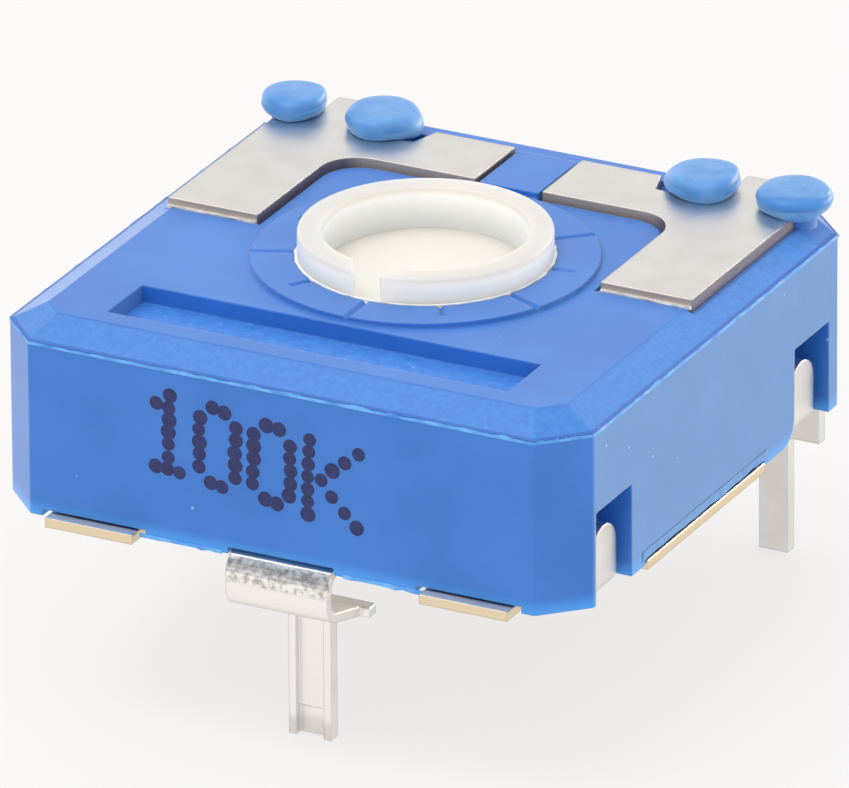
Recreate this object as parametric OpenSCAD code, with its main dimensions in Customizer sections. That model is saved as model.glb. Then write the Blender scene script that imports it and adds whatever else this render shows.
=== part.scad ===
// Single-turn trimmer potentiometer, square flat-mounting type with three formed pins.
// The board's seating plane is z = 0, the rotor turns about z, and the printed wall faces -y.

/* [Housing] */
// Width of the housing, side to side
body_w = 14; // [13:0.1:17]
// Depth of the housing, printed wall to back wall
body_d = 13.8; // [13:0.1:17]
// Height of the upright walls below the top bevel
wall_h = 4.05; // [3.6:0.05:6]
// Height of the housing's lower edge above the board
standoff = 1.5; // [1:0.1:3]
// Cut across each upright corner, along one wall
corner_cut = 0.95; // [0.6:0.05:1.3]
// Rounding of the upright edges
edge_r = 0.12; // [0.05:0.01:0.2]
// Inward run of the top bevel
bevel_run = 0.8; // [0.5:0.05:0.9]
// Inward run of the top bevel at the back wall
bevel_back = 0.4; // [0.3:0.05:0.8]
// Drop of the top bevel
bevel_drop = 0.4; // [0.2:0.05:0.6]
// Ledge left by the mould's parting line under the bevel
parting_step = 0.05; // [0.02:0.01:0.1]
// Thickness of the four walls
wall_t = 1.2; // [1:0.05:1.6]
// Thickness of the roof between the cavity and the top face
roof_t = 1.1; // [0.9:0.05:1.4]

/* [Dial and label panel] */
// Distance from the dial ring to the nearest arm or panel
dial_clear = 0.22; // [0.1:0.01:0.4]
// Width of the raised dial ring
dial_ring = 0.96; // [0.7:0.01:1.2]
// Height of the dial ring above the top face
dial_h = 0.1; // [0.1:0.05:0.4]
// Number of divisions over the whole travel
dial_divisions = 8; // [4:2:12]
// Width of a dial groove at the surface
groove_w = 0.16; // [0.1:0.01:0.3]
// Length of a short groove, from the rotor hole outward
groove_short = 0.55; // [0.3:0.05:0.8]
// Distance from the side wall to the label panel
panel_edge = 2.2; // [1.8:0.1:4]
// Depth of the sunk label panel, front to back
panel_d = 1.6; // [0.8:0.02:1.8]
// Distance from the printed wall to the label panel
panel_inset = 1.29; // [1.2:0.01:1.6]
// Sink of the label panel below the top face
panel_sink = 0.4; // [0.2:0.05:0.5]

/* [Rotor] */
// Height of the crown above the dial ring
crown_rise = 0.62; // [0.3:0.02:1]
// Thickness of the crown's rim
rim_t = 0.54; // [0.4:0.01:0.7]
// Depth of the cup inside the crown
cup_depth = 0.97; // [0.6:0.01:1.2]
// Rounding of the rim's edges
rim_r = 0.09; // [0.04:0.01:0.15]
// Width of the arrow notch at the cup
notch_inner = 1.28; // [0.9:0.02:1.6]
// Width of the arrow notch at the outside of the rim
notch_outer = 0.58; // [0.4:0.02:0.8]
// Width of the collar that stops the rotor from lifting out
collar_w = 0.42; // [0.3:0.01:0.5]
// Thickness of the collar under the roof
collar_t = 1.45; // [1.2:0.05:1.6]
// Diameter of the pivot post, as a share of the hub's
pivot_share = 0.32; // [0.25:0.01:0.4]
// Whole travel between the stops, in degrees
travel = 265; // [240:1:280]

/* [End terminals] */
// Distance from the side wall to an end pin
pin_edge = 2; // [1.8:0.1:2.4]
// Thickness of the end terminals' sheet
sheet_t = 0.3; // [0.2:0.02:0.4]
// Distance from the side wall to the plate's outer edge
plate_inset = 0.67; // [0.6:0.01:0.9]
// Width of the plate's front arm
arm_w = 2.18; // [1.6:0.02:2.4]
// Reach of the front arm, from the back wall forward
arm_reach = 6.78; // [5.8:0.02:7]
// Depth of the plate's rear arm
rear_arm_d = 1.95; // [1.6:0.05:2.1]
// Distance from the back wall to the plate's back edge
rear_inset = 0.97; // [0.9:0.01:1.1]
// Gap between the rear arms of the two plates
plates_gap = 1.64; // [1:0.02:2.4]
// Rounding of the plate's inner corner
inner_r = 0.9; // [0.5:0.05:1.2]
// Depth of the pocket under each plate
pocket = 0.12; // [0.05:0.01:0.2]
// Width of the strip on the back wall
strip_w = 2.2; // [1.6:0.1:2.6]
// Middle radius of the sheet bends
bend_r = 0.4; // [0.3:0.02:0.5]

/* [Pins] */
// Width of an end pin
end_pin_w = 0.7; // [0.6:0.02:1]
// Length of an end pin below the seating plane
end_pin_len = 2.75; // [2:0.05:4]
// Width of the wiper pin
wiper_pin_w = 1.02; // [0.7:0.02:1.1]
// Length of the wiper pin below the seating plane
wiper_pin_len = 3.15; // [2:0.05:4]
// Depth of a formed pin over its two flanges
pin_d = 0.32; // [0.3:0.01:0.6]
// Thickness of a pin's formed walls
web_t = 0.18; // [0.14:0.01:0.24]
// Fillet where a pin leaves its shoulders
root_r = 0.12; // [0.05:0.01:0.15]
// Length of a pin's thinned tip
tip_len = 0.7; // [0.4:0.05:1]
// Distance from the printed wall back to the wiper pin
wiper_inset = 1.46; // [1.4:0.02:2]

/* [Heat stakes] */
// Distance between the two stakes of a plate
stake_pitch = 2.2; // [2:0.05:2.3]
// Distance from the back wall to the stakes
stake_inset = 1.27; // [1.15:0.01:1.4]
// Diameter of a stake's stem
stake_dia = 0.98; // [0.7:0.02:1.1]
// Diameter of the widest stake head
head_dia = 1.7; // [1.3:0.02:1.8]
// Thickness of the thickest stake head
head_t = 0.4; // [0.2:0.02:0.5]
// Highest a stake head stands off its plate
head_lift = 0.1; // [0.08:0.01:0.3]

/* [Collector plate] */
// Thickness of the collector plate's sheet
base_t = 0.22; // [0.2:0.01:0.3]
// Overlap of the plate on the lower wall edges
plate_lap = 0.4; // [0.25:0.05:0.6]
// Sink of the plate into the lower wall edges
rebate = 0.1; // [0.05:0.01:0.2]
// Width of a front tab
tab_w = 2.1; // [1.8:0.05:2.6]
// Distance from the side wall to the middle of an outer front tab
tab_edge = 2.5; // [2.4:0.05:3]
// Room beside a front tab in its notch
tab_room = 0.2; // [0.1:0.05:0.3]
// How far the front tabs stand out of the wall
tab_out = 0.28; // [0.2:0.01:0.5]
// Distance from the front notch to the side tab
side_tab_front = 0.7; // [0.5:0.05:1.5]
// Distance from the side tab to the back notch
side_tab_back = 1.55; // [1:0.05:2]
// How far the side tabs stand out of the wall
side_tab_out = 0.04; // [0.02:0.01:0.1]
// Depth of the wall's cut over a side tab
side_cut = 0.24; // [0.15:0.01:0.4]
// Width of the curled wiper terminal
curl_w = 2.44; // [2:0.02:2.6]
// Width of the wiper terminal's foot
foot_w = 2.9; // [2.6:0.05:3.6]

/* [Locking lugs] */
// Width of a notch in the side wall
notch_w = 1.7; // [1.3:0.05:1.8]
// Height of a notch in the side wall
notch_h = 2.15; // [1.6:0.05:2.5]
// Depth of a notch into the side wall
notch_in = 0.82; // [0.7:0.02:0.9]
// Width of an upturned lug
lug_w = 1.16; // [0.9:0.02:1.25]
// Height of an upturned lug above the housing's lower edge
lug_h = 1.5; // [1.2:0.05:2]
// Sink of a lug behind the side wall's face
lug_sink = 0.23; // [0.15:0.01:0.3]
// Rounding of the wall's lower corner in front of the back notch
toe_r = 0.6; // [0.3:0.05:0.8]
// Distance from the front corner's cut to the front notch
lug_front = 0.1; // [0.05:0.05:0.3]
// Distance from the back corner's cut to the back notch
lug_back = 0.45; // [0.3:0.05:0.9]

/* [Resistive element] */
// Thickness of the element board
board_t = 0.6; // [0.5:0.05:0.8]
// Thickness of the printed films
film_t = 0.05; // [0.03:0.01:0.08]
// Distance from the cavity's wall to the carbon track
track_edge = 0.45; // [0.3:0.05:0.6]
// Width of the carbon track
track_w = 1.2; // [0.8:0.05:1.3]

/* [Wiper] */
// Thickness of the wiper spring's sheet
spring_t = 0.15; // [0.1:0.01:0.2]
// Width of the brush arm
brush_w = 0.9; // [0.6:0.05:1.2]
// Width of a collector finger
finger_w = 0.7; // [0.5:0.05:0.9]

/* [Fits] */
// Radial running clearance of the rotor
run_gap = 0.05; // [0.03:0.01:0.08]
// Clearance of still parts in their seats
seat_gap = 0.05; // [0.03:0.01:0.08]
// Gap left between a sliding contact and its track
touch_gap = 0.02; // [0.01:0.01:0.04]

/* [Hidden] */
$fn = 96;

// One overrun serves all cuts
over = 0.5;
// Points in a rounded outline corner, and in a sheet bend
corner_steps = 4;
bend_steps = 8;

// Angles: the pointer rests at the front, and each stop ends the travel at the back
front_angle = -90;
back_angle = 90;
lug_half_angle = 8;
stop_slack_angle = 0.4;
stop_half_angle = back_angle - (travel / 2 + front_angle) - lug_half_angle - stop_slack_angle;
track_end_angle = travel / 2 + front_angle + stop_slack_angle;
pad_angle = 15;

// Heights, from the board up
body_z = standoff;
bevel_z = body_z + wall_h;
top_z = bevel_z + bevel_drop;
dial_z = top_z + dial_h;
crown_z = dial_z + crown_rise;
cup_z = crown_z - cup_depth;
ceiling_z = top_z - roof_t;
board_z = ceiling_z - board_t;
track_z = board_z - film_t;
plate_top_z = body_z + rebate;
plate_z = plate_top_z - base_t;
plate_mid_z = plate_z + base_t / 2;

// Cavity and its element board
cavity_w = body_w - 2 * wall_t;
cavity_d = body_d - 2 * wall_t;
cavity_cut = 0.6;
board_w = cavity_w - 2 * seat_gap;
board_d = cavity_d - 2 * seat_gap;
track_r = min(cavity_w, cavity_d) / 2 - track_edge - track_w / 2;

// Plates on the roof
plate_floor_z = top_z - pocket;
plate_up_z = plate_floor_z + sheet_t;
plate_out = body_w / 2 - plate_inset;
plate_in = plate_out - arm_w;
plate_back = body_d / 2 - rear_inset;
plate_front = body_d / 2 - arm_reach;
rear_front = plate_back - rear_arm_d;
panel_back = body_d / 2 - panel_inset - panel_d;

// Radii, from the dial ring inward and then out to the stops
dial_r = min(plate_in, panel_back) - dial_clear;
hole_r = dial_r - dial_ring;
crown_r = hole_r - run_gap;
cup_r = crown_r - rim_t;
collar_r = crown_r + collar_w;
collar_z = ceiling_z - run_gap;
collar_low_z = collar_z - collar_t;
// The stop lug and the stop share a radial band between the collar and the track
stop_gap = 0.12;
stop_r = track_r - track_w / 2;
board_gap = 0.2;
board_hole_r = collar_r + board_gap;

// Rotor underside and wiper seat
hub_r = cup_r + rim_t / 2;
hub_drop = 0.6;
hub_z = collar_low_z - hub_drop;
pivot_r = pivot_share * hub_r;
slot_half = stop_r * cos(back_angle - stop_half_angle) + stop_gap;

// Stakes and the tongue between them
pin_x = body_w / 2 - pin_edge;
stake_y = body_d / 2 - stake_inset;
stem_r = stake_dia / 2;
tongue_w = stake_pitch - stake_dia - 2 * seat_gap;
pocket_gap = 0.1;
// The rear arm's back corner is cut away round the inner stake
flare_reach = 1.45;
flare_near = 0.95;
flare_low = 0.42;
pad_rise = 0.12;

// Lift, thickness and width of the stake heads, from left to right, as shares of the largest,
// and their leans in degrees
lift_shares = [1, 0.5, 0.6, 0.5];
thick_shares = [0.55, 0.9, 0.7, 1];
wide_shares = [0.85, 1, 0.97, 1];
head_leans = [2, -2, 3, -2];
stake_places = [
    -pin_x - stake_pitch / 2, -pin_x + stake_pitch / 2,
    pin_x - stake_pitch / 2, pin_x + stake_pitch / 2
];
head_round_share = 0.62;

// Strip, finger and pin of an end terminal
strip_y = body_d / 2 + sheet_t / 2;
strip_top = 1.3;
finger_half = 0.4;
finger_y = track_r * sin(back_angle / 2) + track_w;
lance_h = 1.1;
rear_pin_y = body_d / 2 + pin_d / 2;
tip_sink = 0.04;

// Collector plate and wiper terminal
collector_w = cavity_w + 2 * plate_lap;
collector_d = cavity_d + 2 * plate_lap;
collector_cut = 1;
tab_front = body_d / 2 + tab_out;
tab_places = [-body_w / 2 + tab_edge, body_w / 2 - tab_edge];
wiper_pin_y = wiper_inset - body_d / 2;
curl_y = -body_d / 2 - base_t / 2;
curl_drop = 0.6;
shoulder_r = 0.35;
lug_x = body_w / 2 - lug_sink - base_t / 2;
lug_bend = 0.25;
lug_places = [
    -body_d / 2 + corner_cut + lug_front + notch_w / 2,
    body_d / 2 - corner_cut - lug_back - notch_w / 2
];
side_tab_y = lug_places[0] + notch_w / 2 + side_tab_front;
side_tab_l = lug_places[1] - notch_w / 2 - side_tab_back - side_tab_y;

// Wiper spring
brush_r = track_r + brush_w / 2;
brush_low = stop_r + spring_t;
finger_out_r = hub_r + finger_w * 2;
spring_mid_z = hub_z - spring_t / 2;
spring_hole_r = pivot_r + board_gap;
spring_root = 0.5;
collector_angles = [35, 145];

// Unit vector
function unit(v) = v / norm(v);

// Shortest signed turn between two directions
function turn(a, b) = (b - a + 540) % 360 - 180;

// Points of the arc that rounds corner b, on the way from a to c
function corner_arc(a, b, c, r, steps) =
    let (
        u = unit(a - b),
        v = unit(c - b),
        half = acos(max(-1, min(1, u * v))) / 2,
        centre = b + unit(u + v) * r / sin(half),
        p = b + u * r / tan(half) - centre,
        q = b + v * r / tan(half) - centre,
        first = atan2(p[1], p[0]),
        sweep = turn(first, atan2(q[1], q[0]))
    )
    [for (k = [0 : steps]) centre + r * [cos(first + sweep * k / steps), sin(first + sweep * k / steps)]];

// Closed outline with every corner rounded
function rounded(points, r, steps) =
    let (n = len(points))
    [for (i = [0 : n - 1])
        each corner_arc(points[(i + n - 1) % n], points[i], points[(i + 1) % n], r, steps)];

// Open path with every inner corner rounded
function bent(points, r, steps) =
    let (n = len(points))
    concat(
        [points[0]],
        [for (i = [1 : n - 2]) each corner_arc(points[i - 1], points[i], points[i + 1], r, steps)],
        [points[n - 1]]
    );

// Direction square to an open path at point i
function square_to(path, i) =
    let (
        a = path[max(i - 1, 0)],
        b = path[min(i + 1, len(path) - 1)],
        d = unit(b - a)
    )
    [-d[1], d[0]];

// Closed outline of sheet of thickness t laid along an open path
function ribbon(path, t) =
    concat(
        [for (i = [0 : len(path) - 1]) path[i] + square_to(path, i) * t / 2],
        [for (i = [len(path) - 1 : -1 : 0]) path[i] - square_to(path, i) * t / 2]
    );

// Corner points of a rectangle with cut corners
function cut_rectangle(w, d, c) = [
    [w / 2 - c, -d / 2], [w / 2, -d / 2 + c], [w / 2, d / 2 - c], [w / 2 - c, d / 2],
    [-w / 2 + c, d / 2], [-w / 2, d / 2 - c], [-w / 2, -d / 2 + c], [-w / 2 + c, -d / 2]
];

// Cut left at a corner when the outline moves in by run
function inner_cut(c, run) = c - run * (2 - sqrt(2));

// Outline of the housing, moved in by run
module body_outline(run) {
    polygon(rounded(
        cut_rectangle(body_w - 2 * run, body_d - 2 * run, inner_cut(corner_cut, run)), edge_r, corner_steps
    ));
}

// Outline of the top face: the bevel runs in less far at the back wall
module top_outline() {
    translate([0, (bevel_run - bevel_back) / 2])
    polygon(rounded(
        cut_rectangle(
            body_w - 2 * bevel_run, body_d - bevel_run - bevel_back, inner_cut(corner_cut, bevel_run)
        ),
        edge_r, corner_steps
    ));
}

// Flat wedge from the axis, between two angles less than 180 degrees apart
module wedge(a0, a1, r) {
    mid = (a0 + a1) / 2;
    far = r / cos((a1 - a0) / 4);
    polygon([
        [0, 0], far * [cos(a0), sin(a0)], far * [cos(mid), sin(mid)], far * [cos(a1), sin(a1)]
    ]);
}

// Ring about the axis, standing on z
module ring(r_in, r_out, z, h) {
    translate([0, 0, z])
    linear_extrude(h)
    difference() {
        circle(r_out);
        circle(r_in);
    }
}

// Part of a ring between two angles
module sector(r_in, r_out, a0, a1, z, h) {
    intersection() {
        ring(r_in, r_out, z, h);
        translate([0, 0, z])
        linear_extrude(h)
        wedge(a0, a1, r_out + over);
    }
}

// Box centred in x and y, standing on z
module block(w, d, z, h) {
    translate([-w / 2, -d / 2, z]) cube([w, d, h]);
}

// Sheet bent along a path in y and z, w wide in x
module folded(path, t, w) {
    translate([-w / 2, 0, 0])
    rotate([90, 0, 90])
    linear_extrude(w)
    polygon(ribbon(path, t));
}

// Formed pin below the seating plane: a channel open to -y, thinned at its tip
module channel_pin(w, length, t) {
    inside = w - 2 * web_t;
    difference() {
        union() {
            block(w, pin_d, -length, length + t);
            for (s = [0, 1]) mirror([s, 0, 0]) translate([w / 2, 0, 0]) pin_root();
        }
        translate([0, -web_t, 0]) block(inside, pin_d, -length - over, length + over);
        translate([0, tip_sink - web_t, 0]) block(inside, pin_d, -length - over, tip_len + over);
    }
}

// Fillet between a pin's right flange and the shoulder above it
module pin_root() {
    translate([0, pin_d / 2, 0])
    rotate([90, 0, 0])
    linear_extrude(pin_d)
    difference() {
        translate([-web_t, -root_r]) square([root_r + web_t, root_r + web_t]);
        translate([root_r, -root_r]) circle(root_r);
    }
}

// Outline of a terminal plate on the roof, right-hand one
module plate_outline(grow) {
    difference() {
        union() {
            translate([plate_in - grow, plate_front - grow])
            square([arm_w + 2 * grow, plate_back - plate_front - rear_arm_d / 2 + 2 * grow]);
            translate([plates_gap / 2 - grow, rear_front - grow])
            square([plate_out - plates_gap / 2 + 2 * grow, rear_arm_d + 2 * grow]);
            inner_fillet(grow);
            if (grow > 0) tongue_way(grow);
        }
        if (grow == 0) stake_openings();
    }
}

// Way for the tongue over the roof's back edge
module tongue_way(grow) {
    translate([pin_x - tongue_w / 2 - grow, rear_front]) square([tongue_w + 2 * grow, body_d / 2]);
}

// Rounded inner corner of the plate
module inner_fillet(grow) {
    difference() {
        translate([plate_in - inner_r, rear_front - inner_r]) square(inner_r + rear_arm_d / 2);
        translate([plate_in - inner_r - grow, rear_front - inner_r - grow]) circle(inner_r);
        translate([plate_in - inner_r, rear_front - inner_r]) mirror([1, 0]) square(over);
        translate([plate_in - inner_r - over, rear_front - inner_r - over])
        square([inner_r + over - grow, over]);
    }
}

// Openings in the plate's back edge that clear the stakes
module stake_openings() {
    near = pin_x - stake_pitch / 2;
    far = pin_x + stake_pitch / 2;
    for (x = [near, far]) translate([x, stake_y]) circle(stem_r + seat_gap);
    translate([near - stem_r - seat_gap, stake_y]) square([stake_dia + 2 * seat_gap, stake_inset]);
    translate([far - stem_r - seat_gap, stake_y]) square([stake_inset, stake_inset]);
    polygon([
        [near, stake_y - stem_r - seat_gap], [near - flare_near, stake_y - flare_low],
        [near - flare_reach, stake_y + stake_inset], [near, stake_y + stake_inset]
    ]);
}

// Formed head of a stake, d across and t thick
module stake_head(d, t) {
    steps = corner_steps * 3;
    flat = 1 - head_round_share / 2;
    rotate_extrude()
    polygon(concat(
        [[0, 0]],
        [for (k = [0 : steps])
            let (a = -back_angle + 180 * k / steps)
            d / 2 * [flat + head_round_share / 2 * cos(a), t / d * (1 + sin(a))]],
        [[0, t]]
    ));
}

module stakes() {
    for (i = [0 : len(stake_places) - 1]) {
        low = plate_up_z + head_lift * lift_shares[i];
        thick = head_t * thick_shares[i];
        translate([stake_places[i], stake_y, bevel_z]) cylinder(h = low + thick / 2 - bevel_z, r = stem_r);
        translate([stake_places[i], stake_y, low])
        rotate([head_leans[i], 0, 0])
        stake_head(head_dia * wide_shares[i], thick);
    }
}

module shell() {
    translate([0, 0, body_z]) linear_extrude(wall_h) body_outline(0);
    hull() {
        translate([0, 0, bevel_z - parting_step]) linear_extrude(parting_step) body_outline(parting_step);
        translate([0, 0, top_z - parting_step]) linear_extrude(parting_step) top_outline();
    }
    translate([0, 0, top_z - dial_h]) cylinder(h = 2 * dial_h, r = dial_r);
    // Raised land between the two plates
    translate([0, plate_back - rear_arm_d / 2, 0])
    block(plates_gap - 2 * pocket_gap, rear_arm_d, top_z - pad_rise, 2 * pad_rise);
}

// Radial V-grooves of the dial: every second one runs right across the ring
module dial_grooves() {
    half = dial_divisions / 2;
    for (k = [-half : half]) {
        length = (k % 2 == 0) ? dial_ring + over : groove_short;
        rotate(front_angle + k * travel / dial_divisions)
        translate([hole_r - over, 0, dial_z - groove_w / 2])
        rotate([90, 0, 90])
        linear_extrude(over + length)
        polygon([[0, 0], [groove_w, groove_w], [-groove_w, groove_w]]);
    }
}

// Notches in the lower wall edges for the collector plate's tabs and lugs
module edge_notches() {
    for (x = tab_places)
        translate([x, -body_d / 2, 0])
        block(tab_w + 2 * tab_room, 2 * wall_t, body_z - over, over + rebate + seat_gap);
    translate([0, -body_d / 2, 0])
    block(curl_w + 2 * seat_gap, 2 * wall_t, body_z - over, over + rebate + seat_gap);
    for (s = [-1, 1]) {
        translate([s * body_w / 2, side_tab_y + side_tab_l / 2, 0])
        block(2 * (wall_t - plate_lap), side_tab_l + 2 * seat_gap, body_z - over, over + side_cut);
        for (y = lug_places)
            translate([s * body_w / 2, y, 0]) {
                block(2 * notch_in, notch_w, body_z - over, over + notch_h);
                block(2 * wall_t, lug_w + 2 * seat_gap, body_z - over, over + rebate + seat_gap);
            }
        translate([s * body_w / 2, lug_places[1] - notch_w / 2, body_z]) rounded_toe();
    }
}

// Cut that rounds the side wall's lower corner in front of the back notch
module rounded_toe() {
    difference() {
        translate([-notch_in, -toe_r, -over]) cube([2 * notch_in, toe_r + over, toe_r + over]);
        translate([-notch_in - over, -toe_r, toe_r])
        rotate([0, 90, 0])
        cylinder(h = 2 * (notch_in + over), r = toe_r);
        translate([-notch_in - over, -toe_r - over, toe_r]) cube(2 * (notch_in + over));
    }
}

module housing() {
    color("#3f7bd0")
    difference() {
        union() {
            difference() {
                shell();
                translate([0, 0, body_z - over])
                linear_extrude(ceiling_z - body_z + over)
                polygon(cut_rectangle(cavity_w, cavity_d, cavity_cut));
                for (s = [0, 1])
                    mirror([s, 0, 0])
                    translate([0, 0, plate_floor_z])
                    linear_extrude(pocket + over)
                    plate_outline(pocket_gap);
            }
            stakes();
            // Stop for the rotor, hanging from the roof
            sector(
                board_hole_r, stop_r, back_angle - stop_half_angle, back_angle + stop_half_angle,
                collar_low_z, ceiling_z - collar_low_z + roof_t / 2
            );
        }
        translate([0, 0, ceiling_z - over]) cylinder(h = roof_t + dial_h + 2 * over, r = hole_r);
        dial_grooves();
        translate([0, -panel_back - panel_d / 2, 0])
        block(body_w - 2 * panel_edge, panel_d, top_z - panel_sink, panel_sink + over);
        // Seat of the collector plate
        translate([0, 0, body_z - over])
        linear_extrude(over + rebate)
        polygon(cut_rectangle(collector_w + 2 * seat_gap, collector_d + 2 * seat_gap, collector_cut));
        edge_notches();
        // Windows for the contact fingers
        for (s = [-1, 1])
            translate([s * pin_x, body_d / 2, 0])
            block(
                2 * (finger_half + seat_gap), 2 * (wall_t + over),
                track_z - sheet_t - seat_gap, sheet_t + 2 * seat_gap
            );
    }
}

// Half section of the rotor: cup, crown, collar, hub and pivot post
module rotor_section() {
    polygon(rounded([
        [cup_r, cup_z - rim_t], [crown_r, cup_z - rim_t], [crown_r, crown_z], [cup_r, crown_z]
    ], rim_r, corner_steps));
    square_between([0, collar_low_z], [crown_r, cup_z]);
    square_between([0, collar_low_z], [collar_r, collar_z]);
    square_between([0, hub_z], [hub_r, collar_z]);
    square_between([0, plate_z], [pivot_r, hub_z]);
}

// Rectangle between two corners
module square_between(a, b) {
    translate(a) square(b - a);
}

module rotor() {
    color("#f2f1ee")
    union() {
        difference() {
            rotate_extrude() rotor_section();
            // Arrow notch through the rim
            translate([0, 0, cup_z])
            linear_extrude(cup_depth + over)
            rotate(front_angle)
            polygon([
                [cup_r - over, -notch_inner / 2], [cup_r, -notch_inner / 2], [crown_r, -notch_outer / 2],
                [crown_r + over, -notch_outer / 2], [crown_r + over, notch_outer / 2],
                [crown_r, notch_outer / 2], [cup_r, notch_inner / 2], [cup_r - over, notch_inner / 2]
            ]);
        }
        // Stop lug below the element board
        sector(
            hub_r, stop_r, front_angle - lug_half_angle, front_angle + lug_half_angle,
            collar_low_z, track_z - collar_low_z - stop_gap
        );
    }
}

// Strip on the back wall, seen from the back, from the tongue down to the shoulders
module strip_outline() {
    low = plate_up_z - sheet_t / 2 - bend_r;
    difference() {
        union() {
            translate([-tongue_w / 2, 0]) square([tongue_w, low]);
            polygon(concat(
                [[-strip_w / 2, 0], [strip_w / 2, 0]],
                corner_arc(
                    [strip_w / 2, 0], [strip_w / 2, low - strip_top], [tongue_w / 2, low - strip_top],
                    shoulder_r, corner_steps
                ),
                corner_arc(
                    [-tongue_w / 2, low - strip_top], [-strip_w / 2, low - strip_top], [-strip_w / 2, 0],
                    shoulder_r, corner_steps
                )
            ));
        }
        // Opening left where the contact finger is folded in
        translate([-finger_half, track_z - sheet_t - lance_h]) square([2 * finger_half, lance_h]);
    }
}

module right_hand_terminal() {
    top_mid = plate_up_z - sheet_t / 2;
    translate([0, 0, plate_floor_z]) linear_extrude(sheet_t) plate_outline(0);
    translate([pin_x, 0, 0]) {
        // Tongue over the back wall
        folded(
            bent([
                [plate_back - rear_arm_d / 2, top_mid], [strip_y, top_mid], [strip_y, top_mid - 2 * bend_r]
            ], bend_r, bend_steps),
            sheet_t, tongue_w
        );
        translate([0, strip_y + sheet_t / 2, 0])
        rotate([90, 0, 0])
        linear_extrude(sheet_t)
        strip_outline();
        // Contact finger under the end pad
        translate([-finger_half, finger_y, track_z - sheet_t])
        cube([2 * finger_half, strip_y - finger_y, sheet_t]);
        translate([0, rear_pin_y, 0]) mirror([0, 1, 0]) channel_pin(end_pin_w, end_pin_len, sheet_t);
    }
}

module left_end_terminal() {
    color("#dedad6") mirror([1, 0, 0]) right_hand_terminal();
}

module right_end_terminal() {
    color("#dedad6") right_hand_terminal();
}

// Upturned lug at the plate's right edge
module locking_lug() {
    translate([0, lug_w / 2, 0])
    rotate([90, 0, 0])
    linear_extrude(lug_w)
    polygon(ribbon(bent([
        [collector_w / 2 - plate_lap, plate_mid_z], [lug_x, plate_mid_z], [lug_x, body_z + lug_h / 2]
    ], lug_bend, bend_steps), base_t));
    translate([lug_x - base_t / 2, 0, body_z])
    rotate([90, 0, 90])
    linear_extrude(base_t)
    union() {
        translate([-lug_w / 2, lug_h / 4]) square([lug_w, lug_h * 3 / 4 - lug_w / 2]);
        translate([0, lug_h - lug_w / 2]) circle(lug_w / 2);
    }
}

// Curled terminal: out under the printed wall, down, back to its foot, and into the pin
module wiper_terminal() {
    foot_y = wiper_pin_y - pin_d / 2;
    folded(
        bent([
            [-collector_d / 2 + plate_lap, plate_mid_z], [curl_y, plate_mid_z],
            [curl_y, plate_mid_z - curl_drop - bend_r], [foot_y, base_t / 2],
            [foot_y + pin_d, base_t / 2]
        ], bend_r, bend_steps),
        base_t, curl_w
    );
    translate([0, wiper_pin_y, 0]) {
        block(foot_w, pin_d, 0, base_t);
        channel_pin(wiper_pin_w, wiper_pin_len, base_t);
    }
}

module collector_plate() {
    color("#dedad6")
    difference() {
        union() {
            translate([0, 0, plate_z])
            linear_extrude(base_t)
            polygon(cut_rectangle(collector_w, collector_d, collector_cut));
            for (x = tab_places)
                translate([x - tab_w / 2, -tab_front, plate_z])
                cube([tab_w, tab_front - collector_d / 2 + plate_lap, base_t]);
            for (s = [0, 1])
                mirror([s, 0, 0]) {
                    translate([0, side_tab_y, plate_z])
                    cube([body_w / 2 + side_tab_out, side_tab_l, base_t]);
                    for (y = lug_places) translate([0, y, 0]) locking_lug();
                }
            wiper_terminal();
        }
        translate([0, 0, plate_z - over]) cylinder(h = base_t + 2 * over, r = pivot_r + run_gap);
    }
}

module element_board() {
    color("#8a5a34")
    translate([0, 0, board_z])
    linear_extrude(board_t)
    difference() {
        polygon(cut_rectangle(board_w, board_d, cavity_cut));
        circle(board_hole_r);
        translate([-slot_half, 0]) square([2 * slot_half, board_d]);
    }
}

module carbon_track() {
    color("#26231f")
    difference() {
        ring(track_r - track_w / 2, track_r + track_w / 2, track_z, film_t);
        translate([0, 0, track_z - over])
        linear_extrude(film_t + 2 * over)
        wedge(track_end_angle, 2 * back_angle - track_end_angle, body_w);
    }
}

// End pad on the right-hand side: the track's end and the square under the finger
module right_hand_pad() {
    near = track_r * sin(back_angle / 2);
    translate([0, 0, track_z])
    linear_extrude(film_t)
    difference() {
        union() {
            intersection() {
                circle(track_r + track_w / 2);
                wedge(track_end_angle, track_end_angle + pad_angle, body_w);
            }
            square_between([near, near], [pin_x + finger_half, board_d / 2 - seat_gap]);
        }
        circle(track_r - track_w / 2);
        intersection() {
            circle(track_r + track_w / 2 + seat_gap);
            wedge(track_end_angle + front_angle, track_end_angle, body_w);
        }
    }
}

module left_end_pad() {
    color("#c9c7c2") mirror([1, 0, 0]) right_hand_pad();
}

module right_end_pad() {
    color("#c9c7c2") right_hand_pad();
}

module wiper_spring() {
    brush_top = track_z - touch_gap - spring_t / 2;
    finger_low = plate_top_z + touch_gap + spring_t / 2;
    color("#c8b26a") {
        ring(spring_hole_r, hub_r, hub_z - spring_t, spring_t);
        // Brush arm, out below the stop lug and up to the track
        rotate(front_angle - back_angle)
        folded(bent([
            [hub_r - spring_root, spring_mid_z], [brush_low, spring_mid_z],
            [track_r, brush_top], [brush_r, brush_top - spring_t]
        ], spring_t, bend_steps), spring_t, brush_w);
        for (a = collector_angles)
            rotate(a - back_angle)
            folded(bent([
                [hub_r - spring_root, spring_mid_z], [hub_r, spring_mid_z],
                [finger_out_r, finger_low], [finger_out_r + finger_w / 2, finger_low]
            ], spring_t, bend_steps), spring_t, finger_w);
    }
}

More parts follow.
